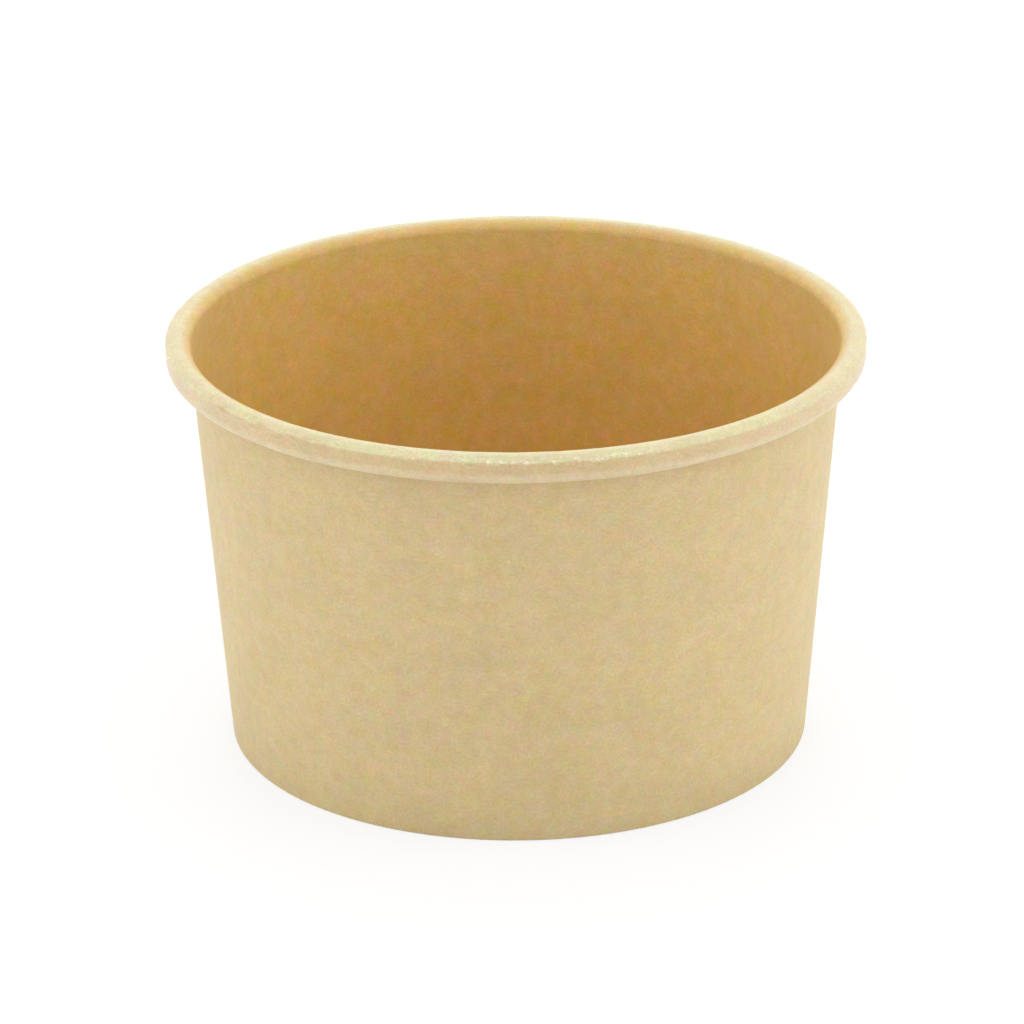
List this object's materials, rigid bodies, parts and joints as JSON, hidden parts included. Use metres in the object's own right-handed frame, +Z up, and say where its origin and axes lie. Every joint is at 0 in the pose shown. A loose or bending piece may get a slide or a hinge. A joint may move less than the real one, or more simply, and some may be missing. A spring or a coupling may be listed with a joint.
{
  "type": "paper ice cream tub",
  "caption": "Open round paper tub of brown kraft board, with a rolled rim, a lapped side seam and a recessed base.",
  "frame": {"origin": "centre of the foot's circle, on the surface that the tub stands on", "axes": "+Z up along the tub's axis; -Y towards the viewer in the picture; the side seam is at the back left, 156 degrees from +X towards +Y"},
  "size_m": [0.097, 0.097, 0.0592],
  "materials": {
    "wall_board": "matte",
    "base_board": "matte"
  },
  "bodies": {
    "root": {"side_wall": "wall_board", "base_disc": "base_board"}
  },
  "joints": []
}
